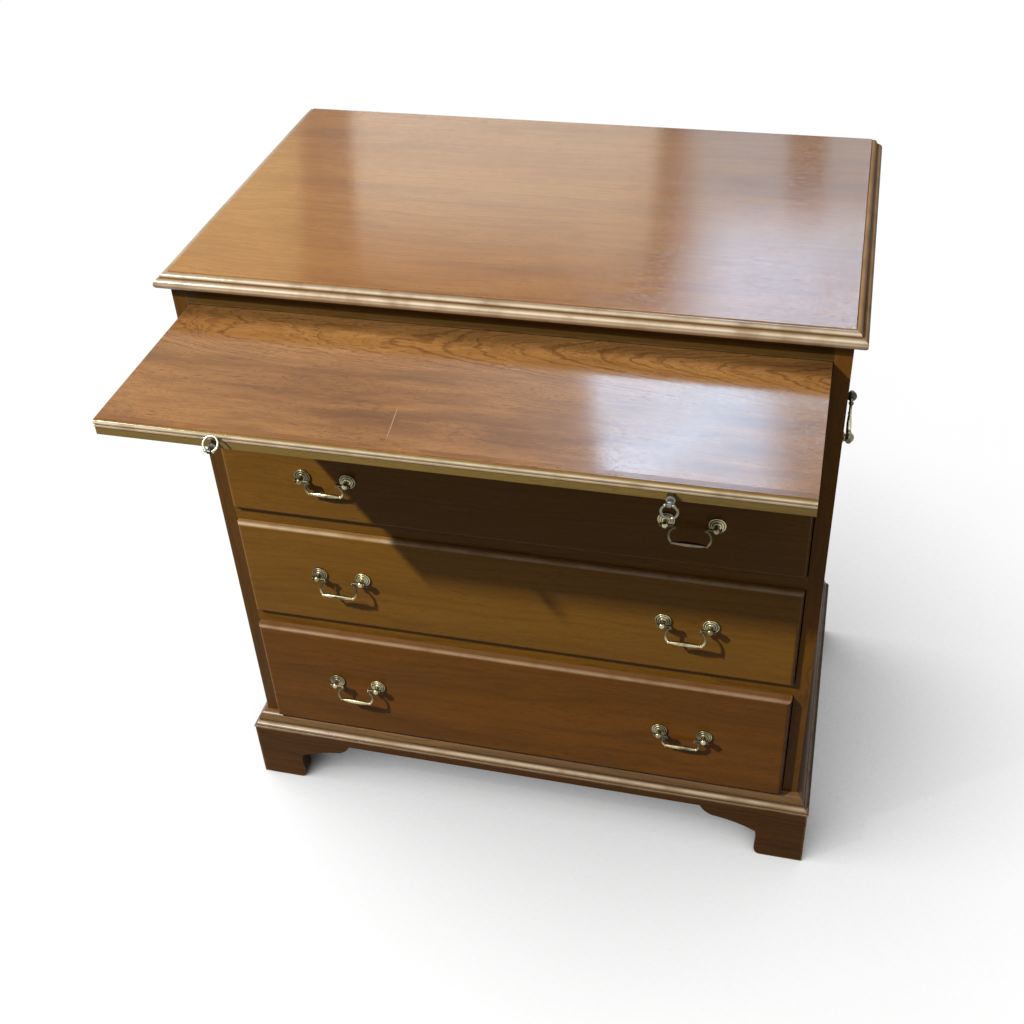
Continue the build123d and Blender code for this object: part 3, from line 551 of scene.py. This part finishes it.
# %% [markdown]
# ## Unpolished wood inside
#
# Drawer linings and the hidden boards of the case are plain planed wood, pale and dry.
# The same grain group serves with lighter colours, wider rings and no gloss.

# %% Plain wood recipe
pale_oak = ((0.30, 0.18, 0.09, 1), (0.50, 0.34, 0.19, 1), (0.60, 0.44, 0.27, 1))
brown_pine = ((0.20, 0.11, 0.05, 1), (0.38, 0.24, 0.12, 1), (0.48, 0.32, 0.18, 1))


def planed(name, nodes, colours, along="X", start=(0, 0, 0)):
    """Dry, unpolished wood, for boards that are seen from behind or in an open drawer."""
    material, tree, shader, place = new_material(name)
    dark, middle, light = colours
    cut = add_node(tree, "Mapping", Vector=place, Location=start, Rotation=grain_turns[along])
    wood = use_group(
        tree, grain, Vector=cut.outputs["Vector"], Dark=dark, Middle=middle, Light=light,
        Ring_Scale=60.0, Rings=0.45, Streaks=0.9, Pores=0.25,
    )
    feed(tree, shader.inputs["Base Color"], wood["Color"])
    feed(tree, shader.inputs["Roughness"], ramp(tree, wood["Sheen"], 0.0, 1.0, 0.62, 0.8))
    bump = add_node(tree, "Bump", Strength=0.25, Distance=0.0005, Height=wood["Height"])
    feed(tree, shader.inputs["Normal"], bump.outputs["Normal"])
    for node in nodes:
        boards[node].material_slots[0].material = material


# %% Drawer linings and hidden boards
for name, part, along, start in (
    ("Drawer sides", "sides", "Y", (0, 0, 0)),
    ("Drawer backs", "back", "X", (0.3, 0, 0)),
    ("Drawer bottoms", "bottom", "X", (0.6, 0.2, 0)),
):
    planed(name, [f"drawer_{n}_{part}" for n in drawers], pale_oak, along, start)
for name, nodes, along, start in (
    ("Back panel", ["back_panel"], "Z", (0, 0, 0)),
    ("Inner boards", ["bottom_board", "dust_boards", "rear_brackets"], "X", (0.2, 0, 0)),
    ("Runners", ["runners", "slide_stop", "drawer_stops"], "Y", (0, 0.3, 0)),
    ("Foot blocks", ["foot_blocks"], "Z", (0, 0, 0.3)),
):
    planed(name, nodes, brown_pine, along, start)
    print(name, "on", nodes)

# %% [markdown]
# ## Old lacquered brass
#
# The handles are cast and turned brass under a worn lacquer. It stays bright where
# fingers rub and goes olive and dull elsewhere, so colour and roughness share one mask.
# On the bails the necks above the grip are also dulled, as painted shade.
# Between the turned rings of a post lies a line of old polish, nearly black. Each ring
# is a circle round its post, so the dark line is found from the distance to the post.

# %% Turned ring group
turned_rings, given, out = new_group(
    "Turned rings",
    [
        ("Vector", "Vector", None),
        ("Level", "Float", 0.5),
        ("Inner", "Float", 0.0056),
        ("Outer", "Float", 0.0082),
    ],
    [("Dirt", "Float")],
)
pull_half, post_half, dirt_half = 0.2175, 0.0286, 0.0017
split = add_node(turned_rings, "SeparateXYZ", Vector=given["Vector"]).outputs
from_middle = sums(turned_rings, "ABSOLUTE", split["X"])
from_pull = sums(turned_rings, "ABSOLUTE", sums(turned_rings, "SUBTRACT", from_middle, pull_half))
from_post = sums(turned_rings, "SUBTRACT", from_pull, post_half)
above = sums(turned_rings, "SUBTRACT", split["Z"], given["Level"])
flat = add_node(turned_rings, "CombineXYZ", X=from_post, Z=above)
reach = measure(turned_rings, "LENGTH", flat.outputs["Vector"])
dirt = 0.0
for circle in ("Inner", "Outer"):
    off = sums(turned_rings, "ABSOLUTE", sums(turned_rings, "SUBTRACT", reach, given[circle]))
    dirt = sums(turned_rings, "MAXIMUM", dirt, ramp(turned_rings, off, 0.0, dirt_half, 1.0, 0.0))
feed(turned_rings, out["Dirt"], dirt)
print("turned ring group:", len(turned_rings.nodes), "nodes")

# %% Brass recipe
old_polish = (0.03, 0.022, 0.012, 1)
old_polish_strength = 0.10
grip_thick, grip_end = 0.005, 0.013


def brass(name, nodes, bright, dull, level=None, grip=None):
    """Brass dull in soft patches; a bail is brightest where fingers rub its grip, its necks dulled
    as painted shade.
    """
    material, tree, shader, place = new_material(name)
    cloud = noise(tree, place, (45, 45, 45), 3, 0.5)
    speck = noise(tree, place, (900, 900, 900), 2)
    tarnish = ramp(tree, cloud, 0.42, 0.62)
    colour = mix_colours(tree, tarnish, bright, dull)
    colour = mix_colours(tree, ramp(tree, speck, 0.58, 0.72, 0.0, 0.07), colour, dull)
    if grip is not None:
        # Painted shade: the necks above the grip are dulled.
        height = axis_of(tree, place, "Z")
        necks_in_painted_shade = ramp(tree, height, grip + grip_thick, grip + grip_end, 0.0, 0.85)
        colour = mix_colours(tree, necks_in_painted_shade, colour, dull)
    if level is not None:
        grime = use_group(tree, turned_rings, Vector=place, Level=level)["Dirt"]
        grime = sums(tree, "MULTIPLY", grime, old_polish_strength)
        colour = mix_colours(tree, grime, colour, old_polish)
    feed(tree, shader.inputs["Base Color"], colour)
    shader.inputs["Metallic"].default_value = 1.0
    feed(tree, shader.inputs["Roughness"], ramp(tree, tarnish, 0.0, 1.0, 0.25, 0.36))
    bump = add_node(tree, "Bump", Strength=0.05, Distance=0.0003, Height=cloud)
    feed(tree, shader.inputs["Normal"], bump.outputs["Normal"])
    for node in nodes:
        boards[node].material_slots[0].material = material
    return material


# %% Brass on the drawers
post_brass = ((0.46, 0.42, 0.26, 1), (0.16, 0.14, 0.080, 1))
lit_bail_brass, painted_shade_brass = (0.50, 0.45, 0.27, 1), (0.17, 0.135, 0.085, 1)
bail_dull = (0.060, 0.050, 0.026, 1)
for number in drawers:
    low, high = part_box(f"drawer_{number}_posts")
    pivots = (low.z + high.z) / 2
    brass(f"Brass posts {number}", [f"drawer_{number}_posts"], *post_brass, level=pivots)
bails = [f"drawer_{n}_bail_{hand}" for n in drawers for hand in ("left", "right")]
# Painted shade: the bails that lie in the slide's shadow get darker brass.
bails_in_painted_shade = ("drawer_1_bail_left", "drawer_1_bail_right", "drawer_2_bail_right")
for node in bails + ["carry_bail_left", "carry_bail_right"]:
    bright = painted_shade_brass if node in bails_in_painted_shade else lit_bail_brass
    brass("Brass " + node, [node], bright, bail_dull, grip=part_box(node)[0].z)
print(len(bails), "drawer bails,", len(bails_in_painted_shade), "of them given painted shade")

# %% Brass on the sides and the slide
# The left ring's lighter brass is painted light, and the right ring's darker brass is painted
# shade.
for name, node, bright, dull in (
    ("Carrying posts brass", "carry_posts", (0.20, 0.18, 0.10, 1), (0.055, 0.048, 0.026, 1)),
    ("Brass ring left", "ring_left", (0.46, 0.44, 0.33, 1), (0.16, 0.15, 0.11, 1)),
    ("Brass ring right", "ring_right", (0.20, 0.19, 0.15, 1), (0.055, 0.051, 0.042, 1)),
    ("Grey brass studs", "ring_studs", (0.17, 0.165, 0.14, 1), (0.05, 0.048, 0.04, 1)),
):
    brass(name, [node], bright, dull)
    print(name, "on", node)

# %% [markdown]
# ## Nuts behind the drawer fronts
#
# The shank of each post goes through the drawer front and is held inside by a washer
# and a small six-sided nut of dull brass. One is modelled round the Y axis and copied
# to all sixteen shanks. Its three parts start as cylinders along that axis, and each
# gets bevelled edges before they are joined.

# %% Turned and bevelled parts of one nut
washer_r, washer_thick, washer_bevel = 0.0058, 0.0008, 0.0002
nut_r, nut_thick, nut_bevel = 0.0043, 0.0028, 0.0004
screw_r, screw_end, screw_bevel = 0.0024, 0.0042, 0.0007


def rounded_disc(radius, low, high, corners, bevel):
    """A cylinder along Y from low to high with bevelled edges."""
    bpy.ops.object.select_all(action="DESELECT")
    bpy.ops.mesh.primitive_cylinder_add(
        vertices=corners, radius=radius, depth=high - low,
        location=(0, (low + high) / 2, 0), rotation=(pi / 2, 0, 0),
    )
    disc = bpy.context.object
    bpy.ops.object.transform_apply(location=True, rotation=True, scale=True)
    soften = disc.modifiers.new("Bevel", "BEVEL")
    soften.width = bevel
    soften.segments = 2
    soften.limit_method = "ANGLE"
    bpy.ops.object.modifier_apply(modifier=soften.name)
    return disc


def one_nut():
    """A washer, a nut and a screw's end, joined, lying on the plane y = 0."""
    parts = [
        rounded_disc(washer_r, 0.0, washer_thick, 40, washer_bevel),
        rounded_disc(nut_r, washer_thick, washer_thick + nut_thick, 6, nut_bevel),
        rounded_disc(screw_r, 0.0, screw_end, 24, screw_bevel),
    ]
    bpy.ops.object.select_all(action="DESELECT")
    for part in parts:
        part.select_set(True)
    bpy.context.view_layer.objects.active = parts[0]
    bpy.ops.object.join()
    bpy.ops.object.shade_smooth_by_angle(angle=radians(35))
    return bpy.context.object


# %% A nut on each of the sixteen shanks
nut_brass = brass("Nut brass", [], (0.24, 0.20, 0.11, 1), (0.085, 0.070, 0.038, 1))
pattern = one_nut()
sides = ((-1, "left"), (1, "right"))
for number in drawers:
    low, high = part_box(f"drawer_{number}_posts")
    for pull, hand in sides:
        for post, side in sides:
            mesh = pattern.data.copy()
            spot = Vector((pull * pull_half + post * post_half, high.y, (low.z + high.z) / 2))
            mesh.transform(Matrix.Translation(spot))
            nut = bpy.data.objects.new(f"nut_{number}_{hand}_handle_{side}", mesh)
            bpy.context.collection.objects.link(nut)
            nut.data.materials.clear()
            nut.data.materials.append(nut_brass)
            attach(nut, f"drawer_{number}")
bpy.data.objects.remove(pattern)
print("nuts of", len(mesh.polygons), "faces each; shanks end at y", round(high.y, 4))

# %% [markdown]
# ## Floor and light
#
# One lamp high on the left throws the slide's shadow down across the drawers, a long
# weak strip over the front puts highlights on the brass, and a dim sky fills the rest.
# The floor is white where it is seen, and darker to the light that bounces off it, so
# that the front of the chest stays deep. Its soft shadow falls to the right and back,
# away from the key lamp, and is drawn from how open the floor is towards that lamp.

# %% Helpers for the floor, the sky and the cards
def unlit_material(name):
    """A material without its Principled shader, its tree and the socket of its surface."""
    material = bpy.data.materials.new(name)
    material.use_nodes = True
    tree = material.node_tree
    tree.nodes.remove(tree.nodes["Principled BSDF"])
    return material, tree, tree.nodes["Material Output"].inputs["Surface"]


def seen_directly(tree):
    """1 for rays from the camera, straight, mirrored or through glass, and 0 for others."""
    path = add_node(tree, "LightPath").outputs
    seen = sums(tree, "MAXIMUM", path["Is Camera Ray"], path["Is Glossy Ray"])
    return sums(tree, "MAXIMUM", seen, path["Is Transmission Ray"])


def glow_of(tree, colour, strength):
    """A surface that shines."""
    return add_node(tree, "Emission", Color=colour, Strength=strength).outputs["Emission"]


def both_of(tree, first, second):
    """Two shaders added up."""
    return node_of(tree, "AddShader", (first, second)).outputs["Shader"]


# %% Pale floor
floor_size = 14.0
white = (1, 1, 1, 1)
bounce_grey = (0.13, 0.125, 0.12, 1)
seen_grey = (0.05, 0.05, 0.05, 1)
shadow_reach, shadow_contrast, shadow_dark = 0.9, 1.53, -0.32
bpy.ops.object.select_all(action="DESELECT")
bpy.ops.mesh.primitive_plane_add(size=floor_size, location=(0, 0, 0))
floor = bpy.context.object
floor.name = "Floor"

paint, tree, surface = unlit_material("Floor paint")
light_from = add_node(tree, "CombineXYZ", X=-0.42, Y=-0.34, Z=0.84).outputs["Vector"]
openness = add_node(
    tree, "AmbientOcclusion", Distance=shadow_reach, samples=16, Normal=light_from,
).outputs["AO"]
soft_shadow = sums(tree, "MULTIPLY_ADD", openness, shadow_contrast, shadow_dark)
soft_shadow = sums(tree, "MAXIMUM", sums(tree, "MINIMUM", soft_shadow, 0.99), 0.02)
hidden = add_node(tree, "BsdfDiffuse", Color=bounce_grey).outputs["BSDF"]
pale = add_node(tree, "BsdfDiffuse", Color=seen_grey).outputs["BSDF"]
shown = both_of(tree, pale, glow_of(tree, white, soft_shadow))
either = node_of(tree, "MixShader", (seen_directly(tree), hidden, shown))
feed(tree, surface, either.outputs["Shader"])
floor.data.materials.append(paint)
print("floor", floor_size, "m wide")

# %% Dim sky, white to the camera
sky_light = 0.10
sky = bpy.data.worlds.new("Sky")
bpy.context.scene.world = sky
sky.use_nodes = True
tree = sky.node_tree
background = tree.nodes["Background"]
strength = ramp(tree, seen_directly(tree), 0.0, 1.0, sky_light, 1.0)
feed(tree, background.inputs["Strength"], strength)
background.inputs["Color"].default_value = white
bpy.context.scene.view_settings.view_transform = "Standard"
print("sky lights at", sky_light)

# %% Lamp helper
def lamp(name, place, aim, power, size, length, along, colour=(1, 1, 1)):
    """A flat lamp at a place, shining at a point, its long side laid along a direction."""
    light = bpy.data.lights.new(name, "AREA")
    light.shape = "RECTANGLE"
    light.size = size
    light.size_y = length
    light.energy = power
    light.color = colour
    made = bpy.data.objects.new(name, light)
    bpy.context.collection.objects.link(made)
    back = (Vector(place) - Vector(aim)).normalized()
    side = Vector(along).cross(back).normalized()
    axes = Matrix((side, back.cross(side), back)).transposed()
    made.matrix_world = Matrix.Translation(place) @ axes.to_4x4()


# %% The key lamp and the strip over the front
edge_low, edge_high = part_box("slide_edge")
slide_corner = Vector((edge_low.x, edge_low.y, edge_high.z))
towards_key = Vector((-0.510, -0.4525, 0.730)).normalized()
key_distance, key_power, strip_power = 3.0, 130, 7.5
key_place = slide_corner + key_distance * towards_key
chest_middle = Vector((0, 0, 0.45))
lamp(
    "Key", key_place, chest_middle, key_power, 0.06, 0.12,
    along=(0, 0.85, 0.53), colour=(1, 0.97, 0.92),
)
lamp("Strip", (-0.4, -1.5, 2.3), (-0.1, -0.3, 0.75), strip_power, 0.16, 2.6, along=(1, 0, 0))
print("key lamp at", [round(v, 2) for v in key_place])

# %% [markdown]
# ## Cards that the polish mirrors
#
# Polish shows what hangs above it. In the room these were windows and a pale ceiling
# with dark gaps between; here they are cards 2.6 m up behind the chest. Each glows
# only towards glossy rays, so it draws a reflection and hardly lights anything else,
# and its glow fades towards its sides by shares of its own width and length.

# %% Card helper
ceiling_height = 2.6


def card(name, corners, colour, strength, fades):
    """A card with its near left, near right, far left and far right corners."""
    bpy.ops.object.select_all(action="DESELECT")
    bpy.ops.mesh.primitive_plane_add(size=1, location=(0, 0, 0))
    sheet = bpy.context.object
    sheet.name = name
    for vertex, (x, y) in zip(sheet.data.vertices, corners):
        vertex.co = (x, y, ceiling_height)
    glowing, tree, surface = unlit_material(name + " glow")
    across = add_node(tree, "SeparateXYZ", Vector=add_node(tree, "TexCoord").outputs["UV"]).outputs
    left, right, near, far = fades
    level = strength
    for axis, low, high in (("X", left, right), ("Y", near, far)):
        level = sums(tree, "MULTIPLY", level, ramp(tree, across[axis], 0.0, low))
        level = sums(tree, "MULTIPLY", level, ramp(tree, across[axis], 1.0 - high, 1.0, 1.0, 0.0))
    level = sums(tree, "MULTIPLY", level, add_node(tree, "LightPath").outputs["Is Glossy Ray"])
    clear = add_node(tree, "BsdfTransparent").outputs["BSDF"]
    feed(tree, surface, both_of(tree, glow_of(tree, (*colour, 1), level), clear))
    sheet.data.materials.append(glowing)


# %% Cards over the top and the slide
haze = (0.60, 0.86, 1.0)
daylight = (0.50, 0.73, 1.0)
plaster = (1.0, 0.98, 0.84)
lamplight = (1.0, 0.80, 0.32)
for name, colour, strength, corners, fades in (
    ("Slide window", daylight, 22.0,
     [(-0.26, 1.70), (0.37, 1.70), (-0.53, 2.72), (0.25, 2.72)], (0.10, 0.30, 0.10, 0.03)),
    ("Slide haze", daylight, 2.0,
     [(-1.10, 1.70), (0.75, 1.70), (-1.40, 2.72), (0.70, 2.72)], (0.50, 0.20, 0.10, 0.03)),
    ("Top window", daylight, 15.0,
     [(-0.30, 2.55), (1.00, 2.55), (-0.42, 3.95), (0.80, 3.95)], (0.30, 0.05, 0.05, 0.55)),
    ("Left wall", lamplight, 2.3,
     [(-2.90, 2.60), (-1.50, 2.60), (-3.60, 4.60), (-2.28, 4.60)], (0.02, 0.04, 0.05, 0.10)),
    ("Middle wall", plaster, 3.6,
     [(-1.38, 2.75), (-0.26, 2.75), (-2.18, 4.90), (-0.52, 4.90)], (0.03, 0.06, 0.40, 0.02)),
    ("Narrow wall", haze, 3.0,
     [(-0.27, 3.10), (0.20, 3.10), (-0.50, 4.90), (0.06, 4.90)], (0.30, 0.08, 0.35, 0.02)),
    ("Right wall", haze, 3.0,
     [(0.28, 3.10), (1.00, 3.10), (0.22, 4.90), (0.90, 4.90)], (0.06, 0.02, 0.35, 0.02)),
):
    card(name, corners, colour, strength, fades)
    print("card", name, "glows at", strength)
